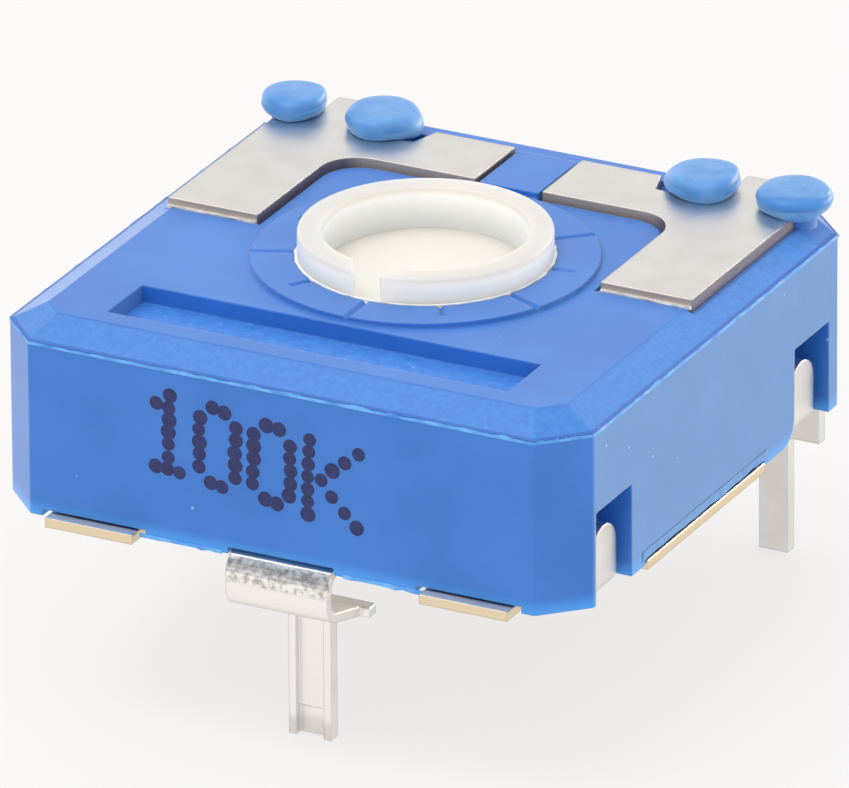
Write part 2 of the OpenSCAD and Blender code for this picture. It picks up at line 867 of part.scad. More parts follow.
housing();
rotor();
left_end_terminal();
right_end_terminal();
collector_plate();
element_board();
carbon_track();
left_end_pad();
right_end_pad();
wiper_spring();
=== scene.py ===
"""Looks of the square trimmer potentiometer: moulded blue housing, white rotor, tinned terminals."""
import math
import random

import bpy
from mathutils import Matrix, Vector


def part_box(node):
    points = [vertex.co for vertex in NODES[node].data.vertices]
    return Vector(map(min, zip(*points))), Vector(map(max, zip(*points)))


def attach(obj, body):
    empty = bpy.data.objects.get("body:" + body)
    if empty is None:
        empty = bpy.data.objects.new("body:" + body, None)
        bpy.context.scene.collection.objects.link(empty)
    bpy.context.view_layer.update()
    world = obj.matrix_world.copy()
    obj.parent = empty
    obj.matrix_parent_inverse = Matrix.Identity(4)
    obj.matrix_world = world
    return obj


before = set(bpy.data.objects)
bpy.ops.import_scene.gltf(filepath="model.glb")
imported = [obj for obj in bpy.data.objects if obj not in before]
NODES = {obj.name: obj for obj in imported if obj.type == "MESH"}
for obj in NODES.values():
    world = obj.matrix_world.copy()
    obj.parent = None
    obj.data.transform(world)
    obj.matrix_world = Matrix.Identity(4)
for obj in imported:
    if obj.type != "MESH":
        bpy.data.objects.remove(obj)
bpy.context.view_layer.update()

# Every size below is in millimetres, and MM takes it to the frame's metres
MM = 0.001

# The photograph's frame and the view that was fitted to it
PHOTO_WIDTH = 849
FOCAL_PIXELS = 18053
SENSOR = 36.0
AZIMUTH = 27.06
ELEVATION = 23.8
ROLL = -0.34
DISTANCE = 391.0
TARGET = (-0.25, 0.39, 2.54)
CLIP_NEAR = 10
CLIP_FAR = 5000

# Levels and walls of the part, as in its source
WALL_FRONT = -6.9
WALL_BACK = 6.9
WALL_SIDE = 7.0
WALL_FOOT = 1.5
CORNER_CUT = 0.95
BEVEL_RUN = 0.82
BEVEL_FOOT = 5.55
TOP = 5.95
PLATE_TOP = 6.13
CUP_FLOOR = 5.7
CROWN_TOP = 6.67
COLLECTOR_LOW = 1.38
COLLECTOR_TOP = 1.6
CURL_HALF = 2.0
SIDE_TAB = (-3.63, 2.43)
STAKE_Y = 5.63

# How far a finish takes to fade into the next, how far a mask is let past the level that it marks,
# and a distance that is clear of the part
SHARP = 0.01
CRISP = 0.02
MASK_PLAY = 0.02
BEYOND = 1.0

# Samples of the shader that rounds edges
EDGE_SAMPLES = 6

# The colour inputs and the colour output of a Mix node, whose names it uses more than once
FIRST = 6
SECOND = 7
BLENDED = 2


def linear(colour):
    """Linear RGBA of an sRGB hex colour."""
    parts = [int(colour[i:i + 2], 16) / 255 for i in (1, 3, 5)]
    return [c / 12.92 if c <= 0.04045 else ((c + 0.055) / 1.055) ** 2.4 for c in parts] + [1.0]


def add(tree, kind, values=None, links=None, tones=None, span=(0.3, 0.7), **settings):
    """Adds a node. Settings are its properties, values its plain inputs, and links its joined inputs, each
    from a socket or from a node's main output. Tones are a ramp's two hex colours, at the span's ends."""
    made = tree.nodes.new("ShaderNode" + kind)
    for name, value in settings.items():
        setattr(made, name, value)
    for name, value in (values or {}).items():
        made.inputs[name].default_value = linear(value) if isinstance(value, str) else value
    for name, source in (links or {}).items():
        if not isinstance(source, bpy.types.NodeSocket):
            source = source.outputs[BLENDED if source.type == "MIX" else 0]
        tree.links.new(source, made.inputs[name])
    if tones:
        for element, position, colour in zip(made.color_ramp.elements, span, tones):
            element.position = position
            element.color = linear(colour)
    return made


def new_material(name, **shader):
    """A material with one Principled shader, and the tree, shader and coordinates to build on."""
    material = bpy.data.materials.new(name)
    material.use_nodes = True
    tree = material.node_tree
    principled = tree.nodes["Principled BSDF"]
    for socket, value in shader.items():
        principled.inputs[socket.replace("_", " ")].default_value = value
    return material, tree, principled, add(tree, "TexCoord")


def per_mm(size):
    """Noise scale whose blobs are about that many millimetres across."""
    return 1 / (size * MM)


def band(tree, value, low, high, soft):
    """1 where value, in metres, lies between low and high millimetres, fading over soft millimetres."""
    rise = add(tree, "MapRange", {"From Min": (low - soft) * MM, "From Max": low * MM}, {"Value": value})
    fall = add(tree, "MapRange",
               {"From Min": high * MM, "From Max": (high + soft) * MM, "To Min": 1.0, "To Max": 0.0},
               {"Value": value})
    return add(tree, "Math", links={0: rise, 1: fall}, operation="MULTIPLY")


# Blue plastic: sizes of its clouding, of the mottling on the bevel and of the moulded grain
BLUE_CLOUD = 2.4
BEVEL_MOTTLE = 0.14
MOULD_GRAIN = 0.08
BLUE_EDGE = 0.07
BLUE_RELIEF = 0.012
BLUE_GLOW_DEPTH = 0.3
BEVEL_SHY = 0.03
CORNER_RUN_SHARE = 1.4
SPLIT_HALF = 0.01
FOOT_GLOW = 0.05
FOOT_GLOW_FADE = 0.3

# How squarely a wall faces sideways where its painted sheen starts and is full
PAINTED_SHEEN_FACING = (0.8, 0.95)

# Dust on the housing: spacing of its cells, a speck's core and edge as shares of that, and how many cells
# have no speck
DUST_PITCH = 0.7
SPECK_SHARES = (0.03, 0.06)
CLEAN_SHARE = 0.72

# How red, green and blue travel inside the blue plastic, as shares of its depth
BLUE_TRAVEL_SHARES = (0.3, 0.7, 1.0)


def near_walls(tree, x, y):
    """1 within the bevel's run of a side, the front, the back or a cut corner of the housing."""
    sideways = add(tree, "Math", links={0: x}, operation="ABSOLUTE")
    lengthways = add(tree, "Math", links={0: y}, operation="ABSOLUTE")
    across = add(tree, "Math", links={0: sideways, 1: lengthways}, operation="ADD")
    reach = WALL_SIDE + WALL_BACK - CORNER_CUT
    at_side = band(tree, sideways, WALL_SIDE - BEVEL_RUN, WALL_SIDE, CRISP)
    at_front = band(tree, lengthways, WALL_BACK - BEVEL_RUN, WALL_BACK, CRISP)
    at_corner = band(tree, across, reach - BEVEL_RUN * CORNER_RUN_SHARE, reach, CRISP)
    outer = add(tree, "Math", links={0: at_side, 1: at_front}, operation="MAXIMUM")
    return add(tree, "Math", links={0: outer, 1: at_corner}, operation="MAXIMUM")


def dust_specks(tree, place):
    """1 on sparse specks a few hundredths of a millimetre across."""
    dust = add(tree, "TexVoronoi", {"Scale": per_mm(DUST_PITCH), "Randomness": 1.0}, {"Vector": place})
    speck = add(tree, "MapRange",
                {"From Min": SPECK_SHARES[0], "From Max": SPECK_SHARES[1], "To Min": 1.0, "To Max": 0.0},
                {"Value": dust.outputs["Distance"]})
    rare = add(tree, "SeparateColor", links={"Color": dust.outputs["Color"]})
    some = add(tree, "Math", {1: CLEAN_SHARE}, {0: rare.outputs["Red"]}, operation="GREATER_THAN")
    return add(tree, "Math", links={0: speck, 1: some}, operation="MULTIPLY")


def blue_moulded_plastic():
    """PBT moulded in a spark-eroded tool: even blue, soft sheen, fine grain, dust, paler scuffed bevel."""
    material, tree, shader, coordinates = new_material(
        "blue_moulded_pbt", Roughness=0.4, IOR=1.5, Sheen_Weight=0.3, Sheen_Roughness=0.4,
        Subsurface_Weight=0.2, Subsurface_Scale=BLUE_GLOW_DEPTH * MM, Subsurface_Radius=BLUE_TRAVEL_SHARES,
    )
    place = coordinates.outputs["Object"]
    x, y, z = add(tree, "SeparateXYZ", links={"Vector": place}).outputs
    facing = add(tree, "SeparateXYZ", links={"Vector": coordinates.outputs["Normal"]})
    cloud = add(tree, "TexNoise", {"Scale": per_mm(BLUE_CLOUD), "Detail": 3.0}, {"Vector": place})
    body = add(tree, "ValToRGB", links={"Fac": cloud}, tones=("#2a6fc4", "#3378ce"))
    outer = near_walls(tree, x, y)

    # The tool left the bevel rougher, so it is paler and a little mottled
    mottle = add(tree, "TexNoise", {"Scale": per_mm(BEVEL_MOTTLE), "Detail": 4.0, "Roughness": 0.6},
                 {"Vector": place})
    scuff = add(tree, "ValToRGB", links={"Fac": mottle}, tones=("#2f74c9", "#4085d2"))
    high = band(tree, z, BEVEL_FOOT, TOP - BEVEL_SHY, SHARP)
    on_bevel = add(tree, "Math", links={0: high, 1: outer}, operation="MULTIPLY")
    scuffed = add(tree, "Mix", links={0: on_bevel, FIRST: body, SECOND: scuff}, data_type="RGBA")

    # Painted sheen: walls that face sideways are paler and greyer, standing in for the bright surroundings
    # reflected at a grazing view
    sidelong = add(tree, "Math", links={0: facing.outputs["X"]}, operation="ABSOLUTE")
    wear_and_painted_sheen = add(tree, "MapRange", {"From Min": PAINTED_SHEEN_FACING[0], "From Max": PAINTED_SHEEN_FACING[1]},
                 {"Value": sidelong})
    painted_sheen = add(tree, "ValToRGB", links={"Fac": cloud}, tones=("#447bbc", "#4d85c5"))
    with_painted_sheen = add(tree, "Mix", links={0: wear_and_painted_sheen, FIRST: scuffed, SECOND: painted_sheen}, data_type="RGBA")

    # Painted light: the stakes' heads, the only blue above the plates, are a little paler below what the
    # punch melted, for the light on them
    over_plates = band(tree, z, PLATE_TOP + SHARP, CROWN_TOP, SHARP)
    painted_head_light = add(tree, "ValToRGB", links={"Fac": cloud}, tones=("#377cc8", "#4b8fd6"))
    with_painted_head_light = add(tree, "Mix", links={0: over_plates, FIRST: with_painted_sheen, SECOND: painted_head_light}, data_type="RGBA")

    # At the bevel's foot, a thin dark band on the walls is painted shade in the tool's split line, and the
    # sunk panel is paler
    level = band(tree, z, BEVEL_FOOT - SPLIT_HALF, BEVEL_FOOT + SPLIT_HALF, CRISP)
    groove_shade_mask = add(tree, "Math", links={0: level, 1: outer}, operation="MULTIPLY")
    in_panel = add(tree, "Math", links={0: level, 1: groove_shade_mask}, operation="SUBTRACT")
    panel = add(tree, "ValToRGB", links={"Fac": mottle}, tones=("#2873d0", "#468fe2"))
    panelled = add(tree, "Mix", links={0: in_panel, FIRST: with_painted_head_light, SECOND: panel}, data_type="RGBA")
    with_groove_shade = add(tree, "Mix", {SECOND: "#2263bd"}, {0: groove_shade_mask, FIRST: panelled}, data_type="RGBA")

    # Painted glow: the thin lower edges are coloured cyan for light passing through them
    thin = band(tree, z, WALL_FOOT - BEYOND, WALL_FOOT + FOOT_GLOW, FOOT_GLOW_FADE)
    with_painted_glow = add(tree, "Mix", {SECOND: "#3f97e8"}, {0: thin, FIRST: with_groove_shade}, data_type="RGBA")

    # Pale dust
    specks = dust_specks(tree, place)
    dusty = add(tree, "Mix", {SECOND: "#93bdee"}, {0: specks, FIRST: with_painted_glow}, data_type="RGBA")
    tree.links.new(dusty.outputs[BLENDED], shader.inputs["Base Color"])

    # Spark-eroded grain, drawn coarser than the real one so that it shows, and softly rounded moulded edges
    grain = add(tree, "TexNoise", {"Scale": per_mm(MOULD_GRAIN), "Detail": 2.0}, {"Vector": place})
    coarse = add(tree, "Math", links={0: mottle, 1: on_bevel}, operation="MULTIPLY")
    relief = add(tree, "Math", links={0: grain, 1: coarse}, operation="ADD")
    edge = add(tree, "Bevel", {"Radius": BLUE_EDGE * MM}, samples=EDGE_SAMPLES)
    bump = add(tree, "Bump", {"Strength": 0.16, "Distance": BLUE_RELIEF * MM},
               {"Height": relief, "Normal": edge})
    tree.links.new(bump.outputs["Normal"], shader.inputs["Normal"])
    return material


# Melted blue plastic: sizes of its clouding and ripples
MELT_CLOUD = 0.6
MELT_RIPPLE = 0.25
MELT_RELIEF = 0.04
MELT_GLOW_DEPTH = 0.4


def melted_blue_plastic():
    """The same PBT on the melted heads: painted paler for the light on them, uneven, and light goes further
    into it.
    """
    material, tree, shader, coordinates = new_material(
        "blue_melted_pbt", Roughness=0.4, IOR=1.5, Sheen_Weight=0.3, Sheen_Roughness=0.4,
        Subsurface_Weight=0.5, Subsurface_Scale=MELT_GLOW_DEPTH * MM, Subsurface_Radius=BLUE_TRAVEL_SHARES,
    )
    place = coordinates.outputs["Object"]
    cloud = add(tree, "TexNoise", {"Scale": per_mm(MELT_CLOUD), "Detail": 4.0}, {"Vector": place})
    # Painted light: a paler blue than the housing, for the lit heads
    body = add(tree, "ValToRGB", links={"Fac": cloud}, tones=("#4387cc", "#689fd6"))
    tree.links.new(body.outputs["Color"], shader.inputs["Base Color"])
    ripple = add(tree, "TexNoise", {"Scale": per_mm(MELT_RIPPLE), "Detail": 3.0}, {"Vector": place})
    bump = add(tree, "Bump", {"Strength": 0.3, "Distance": MELT_RELIEF * MM}, {"Height": ripple})
    tree.links.new(bump.outputs["Normal"], shader.inputs["Normal"])
    return material


# White plastic: sizes of its clouding and grain, and the height of the brim that gets painted shade
WHITE_CLOUD = 1.6
WHITE_GRAIN = 0.09
WHITE_EDGE = 0.05
WHITE_RELIEF = 0.01
WHITE_GLOW_DEPTH = 1.8
WHITE_TRAVEL_SHARES = (1.0, 0.9, 0.75)
BRIM = 0.08
BRIM_FADE = 0.14

# How squarely a face looks up where its painted shade starts and is full, and the span of heights that sets
# how grey it is
UPWARD_FACING = (0.3, 0.9)
TOP_SHADE_SPAN = (0.1, 0.9)


def white_moulded_plastic():
    """Acetal rotor: milky cream white and satin, and light passes a little way in."""
    material, tree, shader, coordinates = new_material(
        "white_moulded_acetal", Roughness=0.38, IOR=1.48, Subsurface_Weight=1.0,
        Subsurface_Scale=WHITE_GLOW_DEPTH * MM, Subsurface_Radius=WHITE_TRAVEL_SHARES,
    )
    place = coordinates.outputs["Object"]
    height = add(tree, "SeparateXYZ", links={"Vector": place}).outputs["Z"]
    facing = add(tree, "SeparateXYZ", links={"Vector": coordinates.outputs["Normal"]})
    cloud = add(tree, "TexNoise", {"Scale": per_mm(WHITE_CLOUD), "Detail": 2.0}, {"Vector": place})
    clean = add(tree, "ValToRGB", links={"Fac": cloud}, tones=("#fdf7ea", "#fffaee"))

    # Painted shade: faces that look up, and the brim, are greyer, most at the rim and a little on the cup's
    # floor, against the stronger light from above
    rise = add(tree, "MapRange", {"From Min": CUP_FLOOR * MM, "From Max": CROWN_TOP * MM}, {"Value": height})
    painted_top_shade = add(tree, "ValToRGB", links={"Fac": rise}, tones=("#e6e2db", "#cbc8c2"), span=TOP_SHADE_SPAN)
    upward = add(tree, "MapRange", {"From Min": UPWARD_FACING[0], "From Max": UPWARD_FACING[1]},
                 {"Value": facing.outputs["Z"]})
    brim = band(tree, height, CROWN_TOP - BRIM, CROWN_TOP, BRIM_FADE)
    top_shade_mask = add(tree, "Math", links={0: upward, 1: brim}, operation="MAXIMUM")
    with_top_shade = add(tree, "Mix", links={0: top_shade_mask, FIRST: clean, SECOND: painted_top_shade}, data_type="RGBA")
    tree.links.new(with_top_shade.outputs[BLENDED], shader.inputs["Base Color"])

    grain = add(tree, "TexNoise", {"Scale": per_mm(WHITE_GRAIN), "Detail": 2.0}, {"Vector": place})
    edge = add(tree, "Bevel", {"Radius": WHITE_EDGE * MM}, samples=EDGE_SAMPLES)
    bump = add(tree, "Bump", {"Strength": 0.08, "Distance": WHITE_RELIEF * MM},
               {"Height": grain, "Normal": edge})
    tree.links.new(bump.outputs["Normal"], shader.inputs["Normal"])
    return material


# Tinned sheet: sizes of its blotches, of the lumps on the bend and of the orange peel
TIN_BLOTCH = 0.7
TIN_LUMP = 0.13
TIN_PEEL = 0.16
TIN_EDGE = 0.06
TIN_RELIEF = 0.012
LUMP_HEIGHT_SHARE = 20.0

# Where its finishes lie: the brass cuts' distance from the back, the top plates' depth, and the levels of the
# painted front highlight
CUT_SHY = 0.1
PLATE_DEPTH = 0.2
FRONT_HIGHLIGHT_LEVELS = (-2.6, 0.9)
FRONT_HIGHLIGHT_FADE = 0.2
FRONT_HIGHLIGHT_BACK_FADE = 0.1
BEND_FOOT = 1.0
BEND_FADE = 0.06

# How squarely a face looks: least for a flat one, forwards for the painted highlight, and up for the crust's
# painted shade
FLAT_FACING = 0.4
FRONT_HIGHLIGHT_FACING = (-0.9, -0.6)
CRUST_SHADE_FACING = (0.1, 0.6)

# How metallic a bare cut is, how far the bend is worn towards that, and where pits and crust change tone
BARE_METAL = 0.3
BEND_WEAR_SHARE = 0.5
PIT_SPAN = (0.36, 0.58)
CRUST_SPAN = (0.34, 0.66)
TIN_GLOSS = (0.24, 0.4)


def painted_front_highlight(tree, y, z, facing):
    """1 on the front faces of the wiper pin and of the lower curl, where a highlight is painted."""
    low = band(tree, z, FRONT_HIGHLIGHT_LEVELS[0], FRONT_HIGHLIGHT_LEVELS[1], FRONT_HIGHLIGHT_FADE)
    front = add(tree, "MapRange",
                {"From Min": FRONT_HIGHLIGHT_FACING[0], "From Max": FRONT_HIGHLIGHT_FACING[1], "To Min": 1.0, "To Max": 0.0},
                {"Value": facing.outputs["Y"]})
    before = band(tree, y, WALL_FRONT - BEYOND, 0, FRONT_HIGHLIGHT_BACK_FADE)
    front_highlight_mask = add(tree, "Math", links={0: low, 1: front}, operation="MULTIPLY")
    return add(tree, "Math", links={0: front_highlight_mask, 1: before}, operation="MULTIPLY")


def outside_front(tree, x, y, z):
    """Two masks: 1 on all of the bottom sheet that stands out of the front wall, and 1 on the curl's bend."""
    outside = band(tree, y, WALL_FRONT - BEYOND, WALL_FRONT - MASK_PLAY, CRISP)
    high = band(tree, z, BEND_FOOT, COLLECTOR_TOP, BEND_FADE)
    middle = band(tree, x, -CURL_HALF, CURL_HALF, CRISP)
    worn = add(tree, "Math", links={0: outside, 1: high}, operation="MULTIPLY")
    return worn, add(tree, "Math", links={0: worn, 1: middle}, operation="MULTIPLY")


def tinned_sheet():
    """Brass sheet with a tin coat: satin warm grey, sheared edges with painted shade at the sides, a painted
    highlight low on the front, brass cuts below, crusted curl with painted shade on top.
    """
    material, tree, shader, coordinates = new_material("satin_tinned_brass")
    place = coordinates.outputs["Object"]
    x, y, z = add(tree, "SeparateXYZ", links={"Vector": place}).outputs
    facing = add(tree, "SeparateXYZ", links={"Vector": coordinates.outputs["Normal"]})
    blotch = add(tree, "TexNoise", {"Scale": per_mm(TIN_BLOTCH), "Detail": 5.0}, {"Vector": place})
    tin = add(tree, "ValToRGB", links={"Fac": blotch}, tones=("#dedad5", "#e7e4e0"))

    # Cut edges of the bottom sheet show the brass: upright faces between the sheet's two sides
    flat = add(tree, "Math", links={0: facing.outputs["Z"]}, operation="ABSOLUTE")
    upright = add(tree, "Math", {1: FLAT_FACING}, {0: flat}, operation="LESS_THAN")
    sheet = band(tree, z, COLLECTOR_LOW - MASK_PLAY, COLLECTOR_TOP + MASK_PLAY, SHARP)
    inside = band(tree, y, WALL_FRONT - BEYOND, WALL_BACK - CUT_SHY, CRISP)
    cut = add(tree, "Math", links={0: upright, 1: sheet}, operation="MULTIPLY")
    cut = add(tree, "Math", links={0: cut, 1: inside}, operation="MULTIPLY")
    coated = add(tree, "Mix", {SECOND: "#e4d0b0"}, {0: cut, FIRST: tin}, data_type="RGBA")

    # The top plates were sheared after the tin, so their edges are bare and dull; the side edges are darker
    # with painted shade
    plate = band(tree, z, TOP - PLATE_DEPTH, PLATE_TOP + MASK_PLAY, SHARP)
    sheared = add(tree, "Math", links={0: upright, 1: plate}, operation="MULTIPLY")
    across = add(tree, "Math", links={0: facing.outputs["X"]}, operation="ABSOLUTE")
    bare_cut_and_side_shade = add(tree, "ValToRGB", links={"Fac": across}, tones=("#b5a797", "#756d74"))
    dulled_and_side_shaded = add(tree, "Mix", links={0: sheared, FIRST: coated, SECOND: bare_cut_and_side_shade}, data_type="RGBA")

    # Painted highlight: the front faces of the pin and of the lower curl are brighter
    front_highlight_mask = painted_front_highlight(tree, y, z, facing)
    bright = add(tree, "Mix", {SECOND: "#f9f5f1"}, {0: front_highlight_mask, FIRST: dulled_and_side_shaded}, data_type="RGBA")

    # The bend of the curl is pitted
    worn, bend = outside_front(tree, x, y, z)
    lumps = add(tree, "TexNoise", {"Scale": per_mm(TIN_LUMP), "Detail": 5.0, "Roughness": 0.55},
                {"Vector": place})
    pits = add(tree, "ValToRGB", links={"Fac": lumps}, tones=("#b9b4af", "#f6f3ef"), span=PIT_SPAN)
    pitted = add(tree, "Mix", links={0: bend, FIRST: bright, SECOND: pits}, data_type="RGBA")

    # On the bend's upward faces the crust is lumpy and grey: the lumps are crust, the darker grey is painted
    # shade
    upper = add(tree, "MapRange", {"From Min": CRUST_SHADE_FACING[0], "From Max": CRUST_SHADE_FACING[1]},
                {"Value": facing.outputs["Z"]})
    crust_shade_mask = add(tree, "Math", links={0: bend, 1: upper}, operation="MULTIPLY")
    crust_and_shade = add(tree, "ValToRGB", links={"Fac": lumps}, tones=("#686c70", "#a3a7ab"), span=CRUST_SPAN)
    crusted_and_shaded = add(tree, "Mix", links={0: crust_shade_mask, FIRST: pitted, SECOND: crust_and_shade}, data_type="RGBA")
    tree.links.new(crusted_and_shaded.outputs[BLENDED], shader.inputs["Base Color"])

    # Bare and worn places shine less like metal
    wear_and_painted_sheen = add(tree, "Math", {1: BEND_WEAR_SHARE}, {0: worn}, operation="MULTIPLY")
    matt = add(tree, "Math", links={0: sheared, 1: wear_and_painted_sheen}, operation="MAXIMUM")
    shine = add(tree, "MapRange", {"To Min": 1.0, "To Max": BARE_METAL}, {"Value": matt})
    tree.links.new(shine.outputs["Result"], shader.inputs["Metallic"])
    gloss = add(tree, "MapRange", {"To Min": TIN_GLOSS[0], "To Max": TIN_GLOSS[1]}, {"Value": blotch})
    tree.links.new(gloss.outputs["Result"], shader.inputs["Roughness"])

    # Orange peel all over, and deeper lumps on the bend
    peel = add(tree, "TexNoise", {"Scale": per_mm(TIN_PEEL), "Detail": 3.0}, {"Vector": place})
    lumpy = add(tree, "Math", links={0: lumps, 1: bend}, operation="MULTIPLY")
    relief = add(tree, "Math", {1: LUMP_HEIGHT_SHARE}, {0: lumpy, 2: peel}, operation="MULTIPLY_ADD")
    edge = add(tree, "Bevel", {"Radius": TIN_EDGE * MM}, samples=EDGE_SAMPLES)
    bump = add(tree, "Bump", {"Strength": 0.1, "Distance": TIN_RELIEF * MM},
               {"Height": relief, "Normal": edge})
    tree.links.new(bump.outputs["Normal"], shader.inputs["Normal"])
    return material


# Grain sizes of the plain films and sheets, and how deep their grain is
FLASH_CLOUD = 0.35
LAMINATE_CLOUD = 0.4
CARBON_GRAIN = 0.08
SILVER_GRAIN = 0.1
BRONZE_CLOUD = 0.3
TORN_TIN_CLOUD = 0.2
INK_CLOUD = 0.12
FILM_RELIEF = 0.01
FLASH_RELIEF = 0.02


def clouded(name, tones, grain, strength=0.2, relief=FILM_RELIEF, **finish):
    """A printed film, a plain sheet or a thin edge: two close tones, clouded and raised at one grain size."""
    material, tree, shader, coordinates = new_material(name, **finish)
    place = coordinates.outputs["Object"]
    cloud = add(tree, "TexNoise", {"Scale": per_mm(grain), "Detail": 4.0}, {"Vector": place})
    body = add(tree, "ValToRGB", links={"Fac": cloud}, tones=tones)
    tree.links.new(body.outputs["Color"], shader.inputs["Base Color"])
    bump = add(tree, "Bump", {"Strength": strength, "Distance": relief * MM}, {"Height": cloud})
    tree.links.new(bump.outputs["Normal"], shader.inputs["Normal"])
    return material


def thin_flash(name, tones):
    """Plastic squeezed out of the tool, in two clouded tones; the pale blue of the blue flash is a painted
    highlight and glow of light through it.
    """
    return clouded(name, tones, FLASH_CLOUD, strength=0.3, relief=FLASH_RELIEF, Roughness=0.45, IOR=1.5)


def dress(names, material):
    """Puts one material on CAD nodes."""
    for name in names:
        if not NODES[name].material_slots:
            NODES[name].data.materials.append(None)
        for slot in NODES[name].material_slots:
            slot.link = "OBJECT"
            slot.material = material


def make_camera():
    """Camera at the photograph's angle, with its long lens."""
    azimuth, elevation = math.radians(AZIMUTH), math.radians(ELEVATION)
    level = math.cos(elevation)
    back = Vector((math.sin(azimuth) * level, -math.cos(azimuth) * level, math.sin(elevation)))
    data = bpy.data.cameras.new("camera")
    data.sensor_width = SENSOR
    data.lens = FOCAL_PIXELS * SENSOR / PHOTO_WIDTH
    data.clip_start, data.clip_end = CLIP_NEAR * MM, CLIP_FAR * MM
    camera = bpy.data.objects.new("camera", data)
    bpy.context.scene.collection.objects.link(camera)
    turn = back.to_track_quat("Z", "Y").to_matrix().to_4x4()
    place = Matrix.Translation((Vector(TARGET) + back * DISTANCE) * MM)
    camera.matrix_world = place @ turn @ Matrix.Rotation(math.radians(ROLL), 4, "Z")
    bpy.context.scene.camera = camera


# Table: its size, where its near and far tones lie, and the share of what is seen that doesn't take shadow
TABLE_SIZE = 900
TABLE_NEAR = -12
TABLE_FAR = 22
TABLE_EVEN_SHARE = 0.76

# Strength of the room's light, at the horizon and overhead
ROOM_LIGHT = (0.8, 1.15)

# Soft lamps: name, place, width and height, watts and colour
SOFTBOXES = (
    ("softbox_above", (-60, -70, 220), (160, 120), 0.15, "#ffffff"),
    ("softbox_right", (75, 127, 9), (120, 14), 0.11, "#fff1dc"),
    ("softbox_left", (-130, 66, 9), (120, 14), 0.02, "#fff4e2"),
)


def table_material():
    """White laminate table: plain and pale, with a faint shadow."""
    material, tree, shader, coordinates = new_material("white_table_laminate", Roughness=0.7)
    shader.inputs["Base Color"].default_value = linear("#f4f3f1")
    where = add(tree, "SeparateXYZ", links={"Vector": coordinates.outputs["Object"]})
    far = add(tree, "MapRange", {"From Min": TABLE_NEAR * MM, "From Max": TABLE_FAR * MM},
              {"Value": where.outputs["Y"]})
    shade = add(tree, "Mix", {FIRST: "#f6f5f4", SECOND: "#f5f3f2"}, {0: far}, data_type="RGBA")
    glow = add(tree, "Emission", {"Strength": 1.0}, {"Color": shade})
    path = add(tree, "LightPath").outputs
    seen = add(tree, "Math", links={0: path["Is Camera Ray"], 1: path["Is Glossy Ray"]}, operation="MAXIMUM")
    seen = add(tree, "Math", links={0: seen, 1: path["Is Transmission Ray"]}, operation="MAXIMUM")
    share = add(tree, "Math", {1: TABLE_EVEN_SHARE}, {0: seen}, operation="MULTIPLY")
    both = add(tree, "MixShader", links={0: share, 1: shader, 2: glow})
    tree.links.new(both.outputs["Shader"], tree.nodes["Material Output"].inputs["Surface"])
    return material


def make_table():
    """Pale table that passes under the three pin tips."""
    rear_low, rear_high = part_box("right_end_terminal")
    front_low, front_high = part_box("collector_plate")
    span = rear_high.y - front_low.y
    bpy.ops.object.select_all(action="DESELECT")
    bpy.ops.mesh.primitive_plane_add(
        size=TABLE_SIZE * MM, location=(0, 0, (rear_low.z + front_low.z) / 2),
        rotation=(math.atan2(rear_low.z - front_low.z, span), 0, 0),
    )
    table = bpy.context.object
    table.name = "table"
    table.data.materials.append(table_material())


def make_room():
    """Even white surroundings, brightest overhead so that the top is lit more than the walls."""
    world = bpy.data.worlds.new("white_room")
    bpy.context.scene.world = world
    world.use_nodes = True
    tree = world.node_tree
    where = add(tree, "SeparateXYZ", links={"Vector": add(tree, "TexCoord").outputs["Generated"]})
    level = add(tree, "MapRange", {"To Min": ROOM_LIGHT[0], "To Max": ROOM_LIGHT[1]},
                {"Value": where.outputs["Z"]})
    tree.nodes["Background"].inputs["Color"].default_value = linear("#ffffff")
    tree.links.new(level.outputs["Result"], tree.nodes["Background"].inputs["Strength"])


def make_softboxes():
    """Soft rectangular lamps that look at the part's middle."""
    for name, place, size, power, colour in SOFTBOXES:
        lamp = bpy.data.lights.new(name, "AREA")
        lamp.shape = "RECTANGLE"
        lamp.size, lamp.size_y = size[0] * MM, size[1] * MM
        lamp.energy = power
        lamp.color = linear(colour)[:3]
        softbox = bpy.data.objects.new(name, lamp)
        bpy.context.scene.collection.objects.link(softbox)
        position = Vector(place) * MM
        turn = position.to_track_quat("Z", "Y").to_matrix().to_4x4()
        softbox.matrix_world = Matrix.Translation(position) @ turn


def finish_piece(name, material, body):
    """Settles the active object: place applied, faces outwards, material on, riding on its body."""
    piece = bpy.context.object
    bpy.ops.object.transform_apply(location=True, rotation=True, scale=True)
    bpy.ops.object.mode_set(mode="EDIT")
    bpy.ops.mesh.select_all(action="SELECT")
    bpy.ops.mesh.normals_make_consistent(inside=False)
    bpy.ops.object.mode_set(mode="OBJECT")
    piece.name = name
    piece.data.materials.clear()
    piece.data.materials.append(material)
    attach(piece, body)


def copy_piece(source, location, scale):
    """A copy of a piece with its own mesh, moved to a place."""
    copy = source.copy()
    copy.data = source.data.copy()
    bpy.context.scene.collection.objects.link(copy)
    copy.location = location
    copy.scale = (scale,) * 3
    return copy


def join_pieces(pieces):
    """Joins objects into the first, which is left active."""
    bpy.ops.object.select_all(action="DESELECT")
    for piece in pieces:
        piece.select_set(True)
    bpy.context.view_layer.objects.active = pieces[0]
    bpy.ops.object.join()


def pick_points(piece, chosen):
    """In edit mode, selects the vertices whose place passes the test."""
    bpy.ops.mesh.select_mode(type="VERT")
    bpy.ops.mesh.select_all(action="DESELECT")
    bpy.ops.object.mode_set(mode="OBJECT")
    for vertex in piece.data.vertices:
        vertex.select = bool(chosen(vertex.co))
    bpy.ops.object.mode_set(mode="EDIT")


